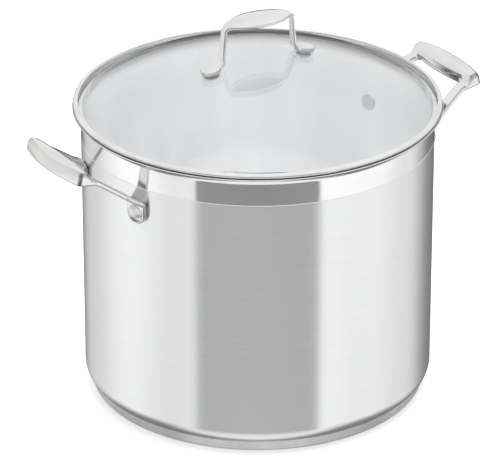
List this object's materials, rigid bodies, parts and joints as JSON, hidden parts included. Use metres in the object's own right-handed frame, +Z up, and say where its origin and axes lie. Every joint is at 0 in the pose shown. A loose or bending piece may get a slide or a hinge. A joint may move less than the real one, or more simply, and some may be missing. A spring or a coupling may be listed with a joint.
{
  "type": "water bath canner",
  "caption": "Tall stainless steel pot for water bath canning, with a sandwich base, riveted strap side handles and a lift-off domed glass lid with a steel rim and strap handle.",
  "frame": {"origin": "centre of the base where it meets the hob", "axes": "+Z up; the side handles lie along X, left handle at -X"},
  "size_m": [0.3586, 0.272, 0.2921],
  "materials": {
    "pot_steel": "brushed round the wall, polished above the bead",
    "base_steel": "satin",
    "core_aluminium": "plain",
    "handle_steel": "mirror polished stainless steel",
    "rivet_steel": "polished stainless steel",
    "band_steel": "polished stainless steel",
    "fastener_steel": "plain stainless steel",
    "lid_glass": "clear tempered glass",
    "gasket_silicone": "translucent pale silicone"
  },
  "bodies": {
    "pot": {"pot_shell": "pot_steel", "base_core": "core_aluminium", "base_cap": "base_steel", "side_handle_left": "handle_steel", "side_handle_right": "handle_steel", "rivet_left_front": "rivet_steel", "rivet_left_rear": "rivet_steel", "rivet_right_front": "rivet_steel", "rivet_right_rear": "rivet_steel"},
    "lid": {"lid_glass": "lid_glass", "lid_band": "band_steel", "lid_handle": "handle_steel", "lid_screw_left": "fastener_steel", "lid_screw_right": "fastener_steel", "lid_washer_left": "fastener_steel", "lid_washer_right": "fastener_steel", "lid_gasket_upper_left": "gasket_silicone", "lid_gasket_upper_right": "gasket_silicone", "lid_gasket_lower_left": "gasket_silicone", "lid_gasket_lower_right": "gasket_silicone"}
  },
  "joints": [
    {"name": "lid_lift", "type": "slide", "parent": "pot", "child": "lid", "axis": [0, 0, 1], "range_m": [0, 0.15]}
  ]
}
